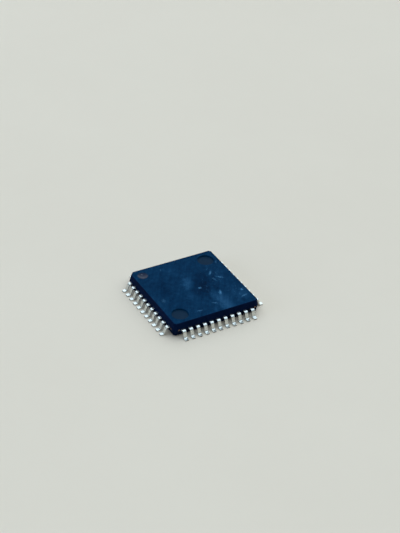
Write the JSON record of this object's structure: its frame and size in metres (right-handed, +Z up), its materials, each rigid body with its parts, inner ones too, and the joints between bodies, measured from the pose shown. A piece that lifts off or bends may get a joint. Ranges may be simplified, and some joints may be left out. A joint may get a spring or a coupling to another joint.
{
  "type": "quad flat pack chip",
  "caption": "Square black moulded chip with gull-wing leads on all four sides, bevelled corners, two round ejector marks and a pin 1 dimple; die, paddle and bond wires inside.",
  "frame": {"origin": "middle of the seating plane, on the board surface that the feet stand on", "axes": "+Z up out of the body's top, -X to the side of pins 1 to 11, with pin 1 at the -X +Y corner; pins run anticlockwise seen from above"},
  "size_m": [0.012, 0.012, 0.0015],
  "materials": {
    "mould_compound": "satin",
    "tinned_leads": "satin",
    "lead_frame_copper": "satin",
    "die_adhesive": "matte",
    "silicon": "polished",
    "bond_wire": "gloss"
  },
  "bodies": {
    "root": {"mould_body": "mould_compound", "die_pad": "lead_frame_copper", "die_attach": "die_adhesive", "die": "silicon", "bond_wires_left": "bond_wire", "bond_wires_front": "bond_wire", "bond_wires_right": "bond_wire", "bond_wires_back": "bond_wire", "lead_01": "tinned_leads", "lead_02": "tinned_leads", "lead_03": "tinned_leads", "lead_04": "tinned_leads", "lead_05": "tinned_leads", "lead_06": "tinned_leads", "lead_07": "tinned_leads", "lead_08": "tinned_leads", "lead_09": "tinned_leads", "lead_10": "tinned_leads", "lead_11": "tinned_leads", "lead_12": "tinned_leads", "lead_13": "tinned_leads", "lead_14": "tinned_leads", "lead_15": "tinned_leads", "lead_16": "tinned_leads", "lead_17": "tinned_leads", "lead_18": "tinned_leads", "lead_19": "tinned_leads", "lead_20": "tinned_leads", "lead_21": "tinned_leads", "lead_22": "tinned_leads", "lead_23": "tinned_leads", "lead_24": "tinned_leads", "lead_25": "tinned_leads", "lead_26": "tinned_leads", "lead_27": "tinned_leads", "lead_28": "tinned_leads", "lead_29": "tinned_leads", "lead_30": "tinned_leads", "lead_31": "tinned_leads", "lead_32": "tinned_leads", "lead_33": "tinned_leads", "lead_34": "tinned_leads", "lead_35": "tinned_leads", "lead_36": "tinned_leads", "lead_37": "tinned_leads", "lead_38": "tinned_leads", "lead_39": "tinned_leads", "lead_40": "tinned_leads", "lead_41": "tinned_leads", "lead_42": "tinned_leads", "lead_43": "tinned_leads", "lead_44": "tinned_leads"}
  },
  "joints": []
}
